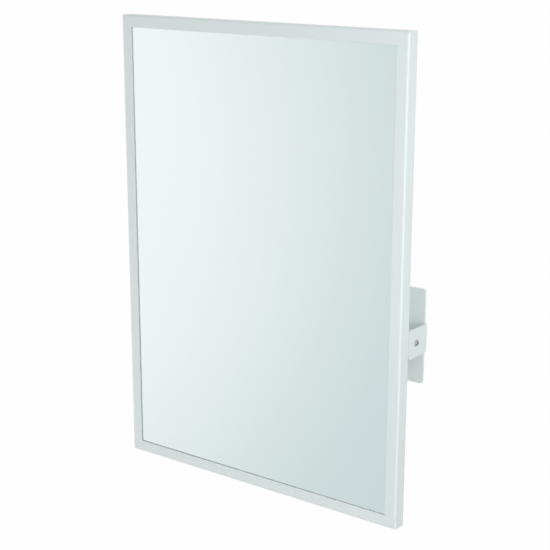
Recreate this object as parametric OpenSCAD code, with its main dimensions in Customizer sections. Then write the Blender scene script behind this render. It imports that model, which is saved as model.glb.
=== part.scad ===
// Pivot wall mirror.
// Millimetres. +X is to the right of someone facing the mirror, +Y goes back into the wall, +Z is up.
// The wall is the plane y = 0, and the pivot axis runs along X at z = 0.

/* [Mirror frame] */
// Overall width of the mirror frame
mirror_w = 500; // [420:5:700]
// Overall height of the mirror frame
mirror_h = 700; // [600:5:1000]
// Height of the pivot axis above the lower edge of the frame
pivot_height = 268.25; // [220:0.25:330]
// Depth of the frame profile, front to back
frame_depth = 22; // [20:0.5:30]
// Width of the frame's front face
face_w = 18; // [17:0.5:26]
// Sheet thickness of the frame profile
frame_wall = 1.5; // [1.2:0.1:2]
// Width of the hollow part of the frame profile
chamber_w = 12; // [11.5:0.5:14]
// Radius of the frame's outer front edge
frame_edge_r = 3; // [2:0.25:4]
// Radius of the frame lip's front edge beside the glass
lip_edge_r = 0.6; // [0.3:0.1:1]

/* [Glass and back] */
// Thickness of the silvered glass
glass_t = 3; // [3:0.5:6]
// Gap between the edge of the glass and the frame
glass_gap = 1; // [0.5:0.25:2]
// Thickness of the glazing tape
tape_t = 0.5; // [0.4:0.1:1]
// Distance of the tape's inner edge from the edge of the frame's lip
tape_setback = 0.1; // [0:0.1:2]
// Gap between two strips of tape at a corner
tape_gap = 0.2; // [0.2:0.1:1]
// Thickness of the safety film
film_t = 0.2; // [0.1:0.05:0.4]
// Thickness of the foam sheet
foam_t = 3; // [2:0.5:5]
// Thickness of the back panel
back_t = 0.8; // [0.6:0.1:1.5]

/* [Corner keys] */
// Length of each leg of a corner key
key_leg = 45; // [30:1:55]
// Gap between a corner key and the chamber walls
key_gap = 0.15; // [0.05:0.05:0.3]
// Diameter of the corner key screws
key_screw_d = 4; // [3:0.5:4.5]
// Length of the corner key screws under the head
key_screw_l = 10; // [6:1:12]
// Distance of a corner key screw from the end of the key's leg
key_screw_inset = 10; // [7:1:14]

/* [Retaining clips] */
// Width of a retaining clip
clip_w = 16; // [12:1:22]
// Sheet thickness of the clips
clip_t = 1.2; // [0.8:0.1:1.5]
// Length of a clip's foot on the back panel
clip_foot = 10; // [8:1:16]
// Distance of the outer clips from the frame's corners
clip_inset = 80; // [70:5:110]
// Distance of the middle clips on the stiles above and below the pivot
clip_pivot_dist = 90; // [80:5:120]
// Diameter of the clip screws
clip_screw_d = 3.5; // [3:0.5:4]
// Length of the clip screws under the head
clip_screw_l = 8; // [6:1:10]

/* [Wall brackets] */
// Height of the wall plate
plate_h = 140; // [120:5:180]
// Width of the wall plate from its inner edge to the fold
plate_w = 60; // [50:1:80]
// Sheet thickness of the wall bracket
bracket_t = 3; // [2.5:0.5:4]
// Corner radius of the wall plate
plate_corner_r = 4; // [2:0.5:8]
// Height of the tab that carries the pivot
tab_h = 42; // [38:1:50]
// Corner radius at the front end of the tab
tab_corner_r = 6; // [4:0.5:10]
// Inside radius of the folds
fold_r = 1.5; // [1:0.5:3]
// Distance of the tab's outer face inside the frame's side
tab_inset = 1.5; // [0.5:0.25:4]
// Gap between the front end of the tab and the back of the frame
tab_front_gap = 3; // [2.5:0.5:6]
// Distance of the pivot axis behind the back of the frame
pivot_back = 23.25; // [21:0.25:30]
// Distance of the pivot axis from the wall
pivot_wall = 32; // [30:0.5:45]
// Vertical distance between the two wall slots of a bracket
slot_pitch = 100; // [80:5:110]
// Horizontal distance from the plate's inner edge to the wall slots
slot_edge = 26; // [20:1:34]
// Width of the wall slots
slot_w = 6.5; // [5:0.5:8]
// Length of the wall slots, end to end
slot_l = 13; // [10:0.5:18]

/* [Pivots] */
// Diameter of the pivot screw
pivot_d = 6; // [5:0.5:8]
// Length of the pivot screw under the head
pivot_screw_l = 25; // [24:1:30]
// Radial clearance of the bush on the pivot screw
bush_gap = 0.05; // [0.02:0.01:0.1]
// Wall thickness of the pivot bush
bush_wall = 1.5; // [1:0.25:2]
// Clearance hole around the pivot screw, as a gap to the screw
screw_hole_gap = 0.2; // [0.1:0.05:0.4]
// Gap left at each face that turns against another
face_gap = 0.05; // [0.03:0.01:0.1]
// Diameter of the friction disc
disc_d = 34; // [26:1:36]
// Thickness of the friction disc
disc_t = 4.4; // [4:0.2:6]
// Diameter of the inner friction washer
inner_washer_d = 18; // [14:1:24]
// Thickness of the inner friction washer
inner_washer_t = 1; // [0.8:0.1:1.5]

/* [Pivot lugs] */
// Sheet thickness of the pivot lug
lug_t = 3; // [2.5:0.5:4]
// Height of the lug's upright, twice the radius of its round end
lug_w = 36; // [32:1:40]
// Length of the lug's foot along the stile
foot_l = 110; // [96:2:130]
// Distance of the foot's outer edge from the frame's side
foot_inset = 2; // [2:0.25:3]
// Gap above and below the tab where the foot is narrowed
foot_neck_gap = 5; // [4:0.5:8]
// Gap between the narrowed foot and the inner face of the tab
foot_tab_gap = 1; // [0.5:0.25:2]
// Width of the relief cuts at the ends of the fold
relief_w = 1.5; // [1:0.25:2.5]
// Distance between the two screws of a lug
lug_screw_pitch = 90; // [76:2:110]
// Diameter of the lug screws
lug_screw_d = 4; // [3.5:0.5:5]
// Distance of the lug screws from the frame's side
lug_screw_inset = 7; // [6:0.25:7.5]
// Length of the lug screws under the head
lug_screw_l = 10; // [8:1:12]
// Thickness of the nut bar inside the stile
nut_bar_t = 4; // [3:0.5:5]

/* [Buffers] */
// Diameter of the rubber buffers
buffer_d = 10; // [8:0.5:11]
// Height of the rubber buffers
buffer_h = 6; // [4:0.5:7]
// Distance of the buffers from the frame's corners along the rails
buffer_inset = 56; // [50:1:62]

/* [Hidden] */
$fn = 48;
// Overlap of a cutting tool past the face that it cuts
cut = 1;

// Frame position
pivot_y = -pivot_wall;
back_y = pivot_y - pivot_back;
front_y = back_y - frame_depth;
bottom_z = -pivot_height;
top_z = mirror_h - pivot_height;
half_w = mirror_w / 2;

// Layers behind the lip, each from the front face of the frame
tape_y = front_y + frame_wall;
glass_y = tape_y + tape_t;
film_y = glass_y + glass_t;
foam_y = film_y + film_t;
panel_y = foam_y + foam_t;
clip_foot_y = panel_y + back_t;
glass_inset = chamber_w + glass_gap;
tape_w = face_w - glass_inset - tape_setback;
chamber_mid = chamber_w / 2;

// Pivot stack on the right, from the tab's outer face inwards
tab_x = half_w - tab_inset;
plate_edge_x = tab_x - bracket_t - fold_r;
plate_inner_x = plate_edge_x - plate_w;
slot_x = plate_inner_x + slot_edge;
tab_front_y = back_y + tab_front_gap;
disc_x = tab_x - bracket_t;
lug_x = disc_x - disc_t - face_gap;
inner_washer_x = lug_x - lug_t - face_gap;
washer_d = 2.1 * pivot_d;
washer_t = 0.27 * pivot_d;
spring_t = 0.12 * pivot_d;
spring_h = 0.2 * pivot_d;
nut_af = 5 / 3 * pivot_d;
nut_h = pivot_d;
collar_h = 0.3 * nut_h;
washer_x = inner_washer_x - inner_washer_t;
spring_x = washer_x - washer_t;
nut_x = spring_x - spring_h;
screw_hole_r = pivot_d / 2 + screw_hole_gap;
bush_r = pivot_d / 2 + bush_gap + bush_wall;

// Button head of the pivot screw
head_d = 1.75 * pivot_d;
head_h = 0.55 * pivot_d;
socket_af = 2 / 3 * pivot_d;
socket_depth = 0.35 * pivot_d;

// Lug foot, and the shape that keeps it out of the tab's way
foot_outer_x = half_w - foot_inset;
foot_neck_x = disc_x - foot_tab_gap;
foot_neck_h = tab_h + 2 * foot_neck_gap;
upright_x = lug_x - lug_t;
lug_screw_x = half_w - lug_screw_inset;

// Bars and keys inside the chamber, and the depth of the screw holes
key_edge = frame_wall + key_gap;
key_w = chamber_w - 2 * key_edge;
key_t = frame_depth - 2 * key_edge;
key_screw_dist = key_edge + key_leg - key_screw_inset;
hole_depth = max(key_screw_l, clip_screw_l, lug_screw_l) + cut;
buffer_x = half_w - buffer_inset;

WHITE = [0.87, 0.9, 0.9];
STEEL = [0.62, 0.63, 0.65];
ZINC = [0.72, 0.73, 0.74];
NYLON = [0.2, 0.2, 0.21];
RUBBER = [0.12, 0.12, 0.13];
GLASS = [0.8, 0.87, 0.86];

// ---- Frame -------------------------------------------------------------------------------------------------------

// Quarter that rounds an outside corner at the origin, of radius r, to be cut off
module corner_waste(r) {
    difference() {
        translate([-cut, -cut]) square(r + cut);
        translate([r, r]) circle(r);
    }
}

// Frame profile: x goes from the outer side inwards, y from the front face back
module frame_section() {
    difference() {
        union() {
            square([face_w, frame_wall]);
            square([chamber_w, frame_depth]);
        }
        translate([frame_wall, frame_wall])
            square([chamber_w - 2 * frame_wall, frame_depth - 2 * frame_wall]);
        corner_waste(frame_edge_r);
        translate([face_w, 0]) mirror([1, 0]) corner_waste(lip_edge_r);
    }
}

// Rail of full length l along +X with mitred ends, its outer side at z = 0 and its lip towards +Z
module mitred_rail(l) {
    mitre = face_w + cut;
    difference() {
        translate([-l / 2, 0, 0]) rotate([90, 0, 90]) linear_extrude(l) rotate([0, 0, 90]) mirror([0, 1])
            frame_section();
        for (end = [0, 1])
            mirror([end, 0, 0]) translate([l / 2, 0, 0]) rotate([90, 0, 0])
                linear_extrude(2 * frame_depth + 2 * cut, center = true)
                polygon([[-mitre, mitre], [cut, -cut], [cut, mitre]]);
    }
}

// Hole of diameter d along Y, through what lies on the rear of the frame and forwards past every screw's tip
module rear_hole(d, x, z) {
    translate([x, back_y + lug_t + cut, z]) rotate([90, 0, 0]) cylinder(d = d, h = lug_t + cut + hole_depth);
}

module key_screw_holes() {
    for (p = key_screw_places()) rear_hole(key_screw_d, p[0], p[1]);
}

module clip_screw_holes() {
    for (p = clip_places()) clip_at(p) rear_hole(clip_screw_d, 0, chamber_mid);
}

module lug_screw_holes() {
    for (side = [-1, 1], end = [-1, 1])
        rear_hole(lug_screw_d, side * lug_screw_x, end * lug_screw_pitch / 2);
}

module stile() {
    translate([half_w, front_y, bottom_z + mirror_h / 2]) rotate([0, -90, 0]) mitred_rail(mirror_h);
}

// One of the four frame members, with the screw holes that fall in it
module frame_member() {
    color(WHITE) difference() {
        children();
        key_screw_holes();
        clip_screw_holes();
        lug_screw_holes();
    }
}

module frame_top_rail() {
    frame_member() translate([0, front_y, top_z]) mirror([0, 0, 1]) mitred_rail(mirror_w);
}

module frame_bottom_rail() {
    frame_member() translate([0, front_y, bottom_z]) mitred_rail(mirror_w);
}

module frame_right_stile() {
    frame_member() stile();
}

module frame_left_stile() {
    frame_member() mirror([1, 0, 0]) stile();
}

// ---- Corner keys ---------------------------------------------------------------------------------------------------

// Corner key screw places as [x, z], two in each key
function key_screw_places() = [
    for (side = [-1, 1], end = [0, 1], leg = [0, 1])
        let (inward = end == 0 ? 1 : -1, z = end == 0 ? bottom_z : top_z)
        leg == 0 ? [side * (half_w - key_screw_dist), z + inward * chamber_mid]
                 : [side * (half_w - chamber_mid), z + inward * key_screw_dist]
];

module corner_keys() {
    color(ZINC) difference() {
        for (side = [0, 1], end = [0, 1]) mirror([side, 0, 0])
            translate([half_w, front_y + key_edge, end == 0 ? bottom_z : top_z]) mirror([1, 0, 0]) mirror([0, 0, end])
            translate([key_edge, 0, key_edge]) {
                cube([key_leg, key_t, key_w]);
                cube([key_w, key_t, key_leg]);
            }
        key_screw_holes();
    }
}

module corner_key_screws() {
    color(STEEL) for (p = key_screw_places())
        translate([p[0], back_y, p[1]]) rotate([90, 0, 0]) pan_screw(key_screw_d, key_screw_l);
}

// ---- Glass and back ------------------------------------------------------------------------------------------------

// Sheet as large as the opening behind the lip, less a gap all round, from y on
module sheet_panel(y, t) {
    translate([-half_w + glass_inset, y, bottom_z + glass_inset])
        cube([mirror_w - 2 * glass_inset, t, mirror_h - 2 * glass_inset]);
}

module glazing_tape() {
    clear_w = mirror_w - 2 * glass_inset;
    clear_h = mirror_h - 2 * glass_inset;
    color(WHITE) {
        for (z = [bottom_z + glass_inset, top_z - glass_inset - tape_w])
            translate([-clear_w / 2, tape_y, z]) cube([clear_w, tape_t, tape_w]);
        for (x = [-clear_w / 2, clear_w / 2 - tape_w])
            translate([x, tape_y, bottom_z + glass_inset + tape_w + tape_gap])
                cube([tape_w, tape_t, clear_h - 2 * tape_w - 2 * tape_gap]);
    }
}

module mirror_glass() {
    color(GLASS) sheet_panel(glass_y, glass_t);
}

module safety_film() {
    color("white") sheet_panel(film_y, film_t);
}

module foam_sheet() {
    color("gray") sheet_panel(foam_y, foam_t);
}

module back_panel() {
    color(WHITE) sheet_panel(panel_y, back_t);
}

// Clip places as [x, z, turn], where turn points the clip's foot inwards
function clip_places() = [
    for (end = [0, 1], x = [-1, 0, 1])
        [x * (half_w - clip_inset), end == 0 ? bottom_z : top_z, end == 0 ? 0 : 180],
    for (side = [-1, 1], z = [bottom_z + clip_inset, clip_pivot_dist, top_z - clip_inset])
        [side * half_w, z, side < 0 ? 90 : -90]
];

// Puts a child drawn for the middle of the bottom rail, with z from the outer side inwards, at a clip place
module clip_at(p) {
    translate([p[0], 0, p[1]]) rotate([0, p[2], 0]) children();
}

// Z-shaped clip: one leg on the rear of the chamber, a web down its inner side and a foot on the back panel
module retaining_clips() {
    color(ZINC) for (p = clip_places()) clip_at(p) difference() {
        union() {
            translate([-clip_w / 2, back_y, frame_wall]) cube([clip_w, clip_t, chamber_w - frame_wall + clip_t]);
            translate([-clip_w / 2, clip_foot_y, chamber_w]) cube([clip_w, back_y - clip_foot_y + clip_t, clip_t]);
            translate([-clip_w / 2, clip_foot_y, chamber_w]) cube([clip_w, clip_t, clip_foot]);
        }
        rear_hole(clip_screw_d, 0, chamber_mid);
    }
}

// Cross-head screw of diameter d along +Z: its shank starts at z = 0, and its pan head lies below that
module pan_screw(d, l) {
    head_r = 0.95 * d;
    head_h = 0.6 * d;
    chamfer = 0.3 * head_h;
    tip_r = 0.3 * d;
    recess_l = 1.2 * head_r;
    recess_w = 0.2 * d;
    difference() {
        rotate_extrude() polygon([
            [0, -head_h], [head_r - chamfer, -head_h], [head_r, -head_h + chamfer], [head_r, 0],
            [d / 2, 0], [d / 2, l - tip_r], [tip_r, l], [0, l]
        ]);
        for (a = [0, 90]) rotate([0, 0, a]) translate([-recess_l / 2, -recess_w / 2, -head_h - cut])
            cube([recess_l, recess_w, head_h / 2 + cut]);
    }
}

module clip_screws() {
    color(STEEL) for (p = clip_places()) clip_at(p)
        translate([0, back_y + clip_t, chamber_mid]) rotate([90, 0, 0]) pan_screw(clip_screw_d, clip_screw_l);
}

module rear_buffers() {
    edge = buffer_h / 5;
    color(RUBBER) for (side = [-1, 1], z = [bottom_z + chamber_mid, top_z - chamber_mid])
        translate([side * buffer_x, back_y, z]) rotate([-90, 0, 0]) rotate_extrude()
            polygon([[0, 0], [buffer_d / 2, 0], [buffer_d / 2, buffer_h - edge], [buffer_d / 2 - edge, buffer_h], [0, buffer_h]]);
}

// ---- Pivot lugs ----------------------------------------------------------------------------------------------------

// Fold in sheet of thickness t, h tall along Z: a quarter of a ring about the origin, towards +X and +Y
module sheet_fold(t, h) {
    linear_extrude(h, center = true) intersection() {
        difference() {
            circle(fold_r + t);
            circle(fold_r);
        }
        square(fold_r + t + cut);
    }
}

// Foot of the right-hand lug in x and z: narrowed beside the tab, and open where the fold leaves it
module foot_outline() {
    window_h = lug_w + 2 * relief_w;
    difference() {
        translate([upright_x, -foot_l / 2]) square([foot_outer_x - upright_x, foot_l]);
        translate([foot_neck_x, -foot_neck_h / 2]) square([foot_outer_x - foot_neck_x + cut, foot_neck_h]);
        translate([upright_x - cut, -window_h / 2]) square([fold_r + lug_t + cut, window_h]);
    }
}

// Right-hand lug: a foot on the rear of the stile and a round-ended upright that carries the bush
module lug() {
    fold_y = back_y + fold_r + lug_t;
    difference() {
        union() {
            translate([0, back_y + lug_t, 0]) rotate([90, 0, 0]) linear_extrude(lug_t) foot_outline();
            translate([upright_x + fold_r + lug_t, fold_y, 0]) rotate([0, 0, 180]) sheet_fold(lug_t, lug_w);
            translate([upright_x + fold_r + lug_t, back_y, -lug_w / 2])
                cube([foot_neck_x - upright_x - fold_r - lug_t, lug_t, lug_w]);
            translate([upright_x, fold_y, -lug_w / 2]) cube([lug_t, pivot_y - fold_y, lug_w]);
            translate([upright_x, pivot_y, 0]) rotate([0, 90, 0]) cylinder(d = lug_w, h = lug_t);
        }
        translate([upright_x, pivot_y, 0]) rotate([0, 90, 0])
            cylinder(r = bush_r, h = 4 * lug_t, center = true);
        lug_screw_holes();
    }
}

module pivot_lug_right() {
    color(WHITE) lug();
}

module pivot_lug_left() {
    color(WHITE) mirror([1, 0, 0]) lug();
}

module lug_screws() {
    color(STEEL) for (side = [-1, 1], z = [-1, 1])
        translate([side * lug_screw_x, back_y + lug_t, z * lug_screw_pitch / 2]) rotate([90, 0, 0])
            pan_screw(lug_screw_d, lug_screw_l);
}

module nut_bars() {
    color(ZINC) difference() {
        for (side = [-1, 1])
            translate([side * (half_w - chamber_mid) - key_w / 2, back_y - frame_wall - nut_bar_t, -foot_l / 2])
                cube([key_w, nut_bar_t, foot_l]);
        lug_screw_holes();
    }
}

// Both pivots: draws its child, made for the right pivot with z pointing outwards along the axis, on both sides
module both_pivots(x) {
    for (side = [0, 1]) mirror([side, 0, 0]) translate([x, pivot_y, 0]) rotate([0, 90, 0]) children();
}

// Ring along +Z from z = 0
module ring(outer_r, inner_r, h) {
    difference() {
        cylinder(r = outer_r, h = h);
        translate([0, 0, -cut]) cylinder(r = inner_r, h = h + 2 * cut);
    }
}

module pivot_bushes() {
    color(NYLON) both_pivots(upright_x) ring(bush_r, pivot_d / 2 + bush_gap, lug_t);
}

// ---- Wall brackets -------------------------------------------------------------------------------------------------

// Right-hand bracket: wall plate, fold and tab
module bracket() {
    fold_outer_r = fold_r + bracket_t;
    tab_l = -tab_front_y - fold_outer_r;
    difference() {
        union() {
            // Plate with rounded corners, in the plane of the wall
            rotate([90, 0, 0]) linear_extrude(bracket_t) plate_outline();
            // Fold
            translate([plate_edge_x, -fold_outer_r, 0]) sheet_fold(bracket_t, tab_h);
            // Tab with rounded front corners
            translate([tab_x - bracket_t, 0, 0]) rotate([90, 0, 90]) linear_extrude(bracket_t) difference() {
                translate([tab_front_y, -tab_h / 2]) square([tab_l, tab_h]);
                for (end = [0, 1]) mirror([0, end]) translate([tab_front_y, -tab_h / 2]) corner_waste(tab_corner_r);
            }
        }
        translate([tab_x, pivot_y, 0]) rotate([0, 90, 0])
            cylinder(r = screw_hole_r, h = 4 * bracket_t, center = true);
        for (z = [-1, 1]) translate([slot_x, 0, z * slot_pitch / 2]) rotate([90, 0, 0])
            linear_extrude(4 * bracket_t, center = true) slot_outline();
    }
}

module plate_outline() {
    difference() {
        translate([plate_inner_x, -plate_h / 2]) square([plate_w, plate_h]);
        for (end = [0, 1]) mirror([0, end]) {
            translate([plate_inner_x, -plate_h / 2]) corner_waste(plate_corner_r);
            translate([plate_edge_x, -plate_h / 2]) mirror([1, 0]) corner_waste(plate_corner_r);
        }
    }
}

module slot_outline() {
    straight = slot_l - slot_w;
    square([straight, slot_w], center = true);
    for (end = [-1, 1]) translate([end * straight / 2, 0]) circle(d = slot_w);
}

module wall_bracket_right() {
    color(WHITE) bracket();
}

module wall_bracket_left() {
    color(WHITE) mirror([1, 0, 0]) bracket();
}

// ---- Pivot hardware ------------------------------------------------------------------------------------------------

// Button head screw along -Z from the underside of its head at z = 0
module button_screw() {
    dome_r = (head_h * head_h + head_d * head_d / 4) / (2 * head_h);
    difference() {
        union() {
            translate([0, 0, -pivot_screw_l]) cylinder(d = pivot_d, h = pivot_screw_l);
            intersection() {
                cylinder(d = head_d, h = head_h);
                translate([0, 0, head_h - dome_r]) sphere(dome_r);
            }
        }
        translate([0, 0, head_h - socket_depth]) cylinder(d = socket_af / cos(30), h = head_h, $fn = 6);
    }
}

module right_pivot_screw() {
    translate([tab_x, pivot_y, 0]) rotate([0, 90, 0]) button_screw();
}

module pivot_screw_right() {
    color(STEEL) right_pivot_screw();
}

module pivot_screw_left() {
    color(STEEL) mirror([1, 0, 0]) right_pivot_screw();
}

module friction_discs() {
    color(NYLON) both_pivots(disc_x - disc_t) ring(disc_d / 2, screw_hole_r, disc_t);
}

module inner_friction_washers() {
    color(NYLON) both_pivots(inner_washer_x - inner_washer_t) ring(inner_washer_d / 2, screw_hole_r, inner_washer_t);
}

module steel_washers() {
    color(STEEL) both_pivots(washer_x - washer_t) ring(washer_d / 2, screw_hole_r, washer_t);
}

// Conical spring washer, wide end against the flat washer
module disc_springs() {
    outer_r = washer_d / 2;
    color(STEEL) both_pivots(spring_x - spring_h) rotate_extrude() polygon([
        [screw_hole_r, 0], [screw_hole_r, spring_t], [outer_r, spring_h], [outer_r, spring_h - spring_t]
    ]);
}

module lock_nuts() {
    color(STEEL) both_pivots(nut_x - nut_h) difference() {
        union() {
            translate([0, 0, collar_h]) cylinder(d = nut_af / cos(30), h = nut_h - collar_h, $fn = 6);
            cylinder(d = 0.85 * nut_af, h = collar_h + cut);
        }
        translate([0, 0, -cut]) cylinder(d = pivot_d, h = nut_h + 2 * cut);
    }
}

frame_top_rail();
frame_bottom_rail();
frame_left_stile();
frame_right_stile();
corner_keys();
corner_key_screws();
glazing_tape();
mirror_glass();
safety_film();
foam_sheet();
back_panel();
retaining_clips();
clip_screws();
rear_buffers();
pivot_lug_left();
pivot_lug_right();
lug_screws();
nut_bars();
pivot_bushes();
wall_bracket_left();
wall_bracket_right();
pivot_screw_left();
pivot_screw_right();
friction_discs();
inner_friction_washers();
steel_washers();
disc_springs();
lock_nuts();
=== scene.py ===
"""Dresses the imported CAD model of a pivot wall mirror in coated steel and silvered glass, in a white studio.

Every length is in metres, in the frame of the CAD model: +X to the right of someone facing the mirror, +Y
back into the wall, +Z up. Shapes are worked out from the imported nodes' own boxes.
"""

import math

import bmesh
import bpy
import numpy as np
from bpy.props import FloatProperty, FloatVectorProperty, PointerProperty
from mathutils import Matrix, Vector
from mathutils.geometry import tessellate_polygon


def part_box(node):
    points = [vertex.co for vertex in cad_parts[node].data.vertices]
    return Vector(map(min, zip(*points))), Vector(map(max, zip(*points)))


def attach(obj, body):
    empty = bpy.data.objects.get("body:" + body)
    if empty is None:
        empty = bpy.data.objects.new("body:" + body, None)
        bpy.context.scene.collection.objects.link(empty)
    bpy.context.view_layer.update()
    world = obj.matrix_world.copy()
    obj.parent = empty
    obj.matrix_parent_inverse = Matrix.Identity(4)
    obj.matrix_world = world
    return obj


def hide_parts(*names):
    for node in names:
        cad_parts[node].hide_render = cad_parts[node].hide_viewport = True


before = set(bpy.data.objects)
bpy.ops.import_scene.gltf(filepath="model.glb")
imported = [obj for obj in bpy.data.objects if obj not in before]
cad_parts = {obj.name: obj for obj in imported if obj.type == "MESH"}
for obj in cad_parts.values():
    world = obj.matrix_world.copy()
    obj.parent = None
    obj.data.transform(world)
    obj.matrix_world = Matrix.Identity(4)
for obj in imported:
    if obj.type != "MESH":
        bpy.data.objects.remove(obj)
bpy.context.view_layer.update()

bl_info = {
    "name": "Pivot Wall Mirror",
    "version": (1, 0, 0),
    "blender": (4, 5, 0),
    "location": "3D View > Sidebar > Wall Mirror",
    "description": "Builds the coated frame, silvered glass, brackets and fasteners of a tilting wall mirror",
    "category": "Object",
}

MM = 0.001
SMOOTH_ANGLE = math.radians(32)
FLAT_ANGLE = math.radians(0.5)
QUARTER = math.pi / 2
# Distance of an outline's point beside an arc from the arc's end, as a share of the radius
HOLD = 0.15
# Points of a flat sheet's rounded edge and of each of its rounded corners
EDGE_POINTS, CORNER_POINTS = 5, 7
X, Y, Z = np.eye(3)


# ---- Settings ----


def number(name, default, description, **limits):
    """A number that a user can change."""
    return FloatProperty(name=name, description=description, default=default, **limits)


def length(name, default, description):
    """A length, given in millimetres and kept in metres."""
    return number(name, default * MM, description, min=0, unit="LENGTH", precision=5)


def angle(name, default, description):
    """An angle, given in degrees and kept in radians."""
    return number(name, math.radians(default), description, subtype="ANGLE")


def share(name, default, description):
    """A number from 0 to 1."""
    return number(name, default, description, min=0, max=1, subtype="FACTOR")


def power(name, default, description):
    """The power of a lamp in watts."""
    return number(name, default, description, min=0, unit="POWER")


def colour(name, default, description):
    """A linear colour."""
    return FloatVectorProperty(
        name=name, description=description, default=default, size=3, min=0, max=1, subtype="COLOR"
    )


class MirrorSizes(bpy.types.PropertyGroup):
    """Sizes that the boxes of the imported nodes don't give."""

    chamber_w: length("Chamber width", 12, "Width of the hollow part of the frame profile")
    wall: length("Profile wall", 1.5, "Sheet thickness of the frame profile")
    front_r: length("Front edge", 3, "Radius of the frame's outer front edge")
    lip_r: length("Lip edge", 0.6, "Radius of the lip's edge beside the glass")
    rear_r: length("Rear edges", 1, "Radius of the frame's rear edges")
    mitre_groove: length("Mitre groove", 0.08, "Width of the break along each mitre")
    glass_arris: length("Glass arris", 0.5, "Ground edge of the glass")
    silver_depth: length("Silver depth", 0.3, "Depth at which the glass reflects, from its front")
    sheet_edge: length("Sheet metal edge", 0.4, "Radius that the coating gives the edges of folded sheet")
    clip_t: length("Clip sheet", 1.2, "Sheet thickness of the clips")
    clip_bend: length("Clip bend", 0.8, "Inside radius of the bends in a clip")
    thread_pitch: length("Thread pitch", 1, "Pitch of the pivot screws' thread")
    thread_l: length("Thread length", 12, "Length of the pivot screws' thread")


class MirrorFinishes(bpy.types.PropertyGroup):
    """Colours and gloss of the finishes."""

    coating: colour("Coating", (0.80, 0.875, 0.87), "Powder coat of the frame, brackets and lugs")
    coating_gloss: share("Coating roughness", 0.36, "Roughness of the powder coat")
    back: colour("Back coating", (0.76, 0.80, 0.795), "Coil coat of the back panel")
    silver: colour("Silver", (0.915, 0.945, 0.94), "Silver behind the glass")
    glass: colour("Glass", (0.985, 1.0, 0.992), "Body of the glass")
    tape: colour("Glazing tape", (0.84, 0.88, 0.87), "Foam tape between lip and glass")
    foam: colour("Foam", (0.30, 0.31, 0.32), "Padding behind the glass")
    film: colour("Film", (0.72, 0.76, 0.78), "Safety film on the back of the glass")
    zinc: colour("Zinc", (0.60, 0.62, 0.64), "Bright zinc plating of clips and keys")
    steel: colour("Steel", (0.56, 0.56, 0.56), "Stainless screws")
    nylon: colour("Nylon", (0.035, 0.035, 0.038), "Nylon discs, washers and bushes")
    rubber: colour("Rubber", (0.025, 0.025, 0.027), "Rubber buffers")


class MirrorStage(bpy.types.PropertyGroup):
    """Camera, floor and light."""

    yaw: angle("Camera yaw", 36.3765, "Turn to the left")
    pitch: angle("Camera pitch", 15.2501, "Tilt downwards")
    roll: angle("Camera roll", -0.1479, "Turn about the view")
    camera_at: FloatVectorProperty(
        name="Camera place",
        description="Where the camera stands",
        default=(1.1172, -1.54405, 0.57015),
        subtype="TRANSLATION",
        unit="LENGTH",
    )
    lens: number("Lens", 85.383, "Focal length in millimetres", min=1)
    floor_drop: length("Floor depth", 1300, "Height of the pivot axis above the floor")
    ambient: share("Ambient", 0.55, "Strength of the even light from all round")
    key: power("Key light", 7.1, "Power of the near light at the right in front")
    top: power("Top light", 5, "Power of the high light at the right")
    fill: power("Fill light", 10.5, "Power of the low light at the left")
    rear: power("Rear light", 2, "Power of the light behind the wall plane")


def sizes():
    return bpy.context.scene.mirror_sizes


def stage_settings():
    return bpy.context.scene.mirror_stage


# ---- Mesh helpers ----


class Solid:
    """Points, faces, and for each point its share of a rounded edge and its way along a turned profile."""

    def __init__(self, points, faces, edge=None, turned=None):
        self.points = np.asarray(points, float)
        self.faces = [np.asarray(f, int) for f in faces]
        none = np.zeros(len(self.points))
        self.edge = none if edge is None else np.asarray(edge, float)
        self.turned = none if turned is None else np.asarray(turned, float)


def outward(solid):
    """Turns the faces over where the volume, the sum of a . (b x c) / 6 over triangles, is negative."""
    volume = 0.0
    for faces in solid.faces:
        for k in range(1, faces.shape[1] - 1):
            a, b, c = (solid.points[faces[:, i]] for i in (0, k, k + 1))
            volume += np.einsum("ij,ij->", a, np.cross(b, c))
    if volume < 0:
        solid.faces = [f[:, ::-1] for f in solid.faces]
    return solid


def joined(solids):
    """Several solids as one, each kept whole."""
    starts = np.cumsum([0] + [len(s.points) for s in solids])
    faces = [f + start for s, start in zip(solids, starts) for f in s.faces]
    parts = [np.concatenate([getattr(s, part) for s in solids]) for part in ("points", "edge", "turned")]
    return Solid(parts[0], faces, *parts[1:])


def placed(solid, origin, along, across, up):
    """The solid with its x, y and z carried onto three directions from origin, faces outwards."""
    axes = np.array([along, across, up], float)
    return outward(Solid(origin + solid.points @ axes, solid.faces, solid.edge, solid.turned))


def new_object(name, data):
    """A new object in the scene."""
    obj = bpy.data.objects.new(name, data)
    bpy.context.scene.collection.objects.link(obj)
    return obj


def coat(obj, finish):
    """Gives an object, new or carried over, one material."""
    obj.data.materials.clear()
    obj.data.materials.append(finish)
    return obj


def smooth_mesh(name, points, faces):
    """A new mesh with smooth shading."""
    mesh = bpy.data.meshes.new(name)
    mesh.from_pydata(points, [], faces)
    mesh.polygons.foreach_set("use_smooth", np.ones(len(faces), bool))
    return mesh


def dressed(obj, body, finish, node):
    """The object, riding on a body and a finish. It replaces a CAD node where one is given."""
    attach(obj, body)
    if node:
        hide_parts(node)
    return coat(obj, material(finish))


def piece(name, solid, body, slot, finish, node=None):
    """A new object with the solid as its mesh, which keeps the edge and turned values as attributes."""
    faces = [row for f in solid.faces for row in f.tolist()]
    mesh = smooth_mesh(name, solid.points.tolist(), faces)
    for label in ("edge", "turned"):
        layer = mesh.attributes.new(label, "FLOAT", "POINT")
        layer.data.foreach_set("value", getattr(solid, label).astype(np.float32))
    mesh.set_sharp_from_angle(angle=SMOOTH_ANGLE)
    mesh.update()
    return dressed(new_object(name, mesh), body, finish, node)


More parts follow.
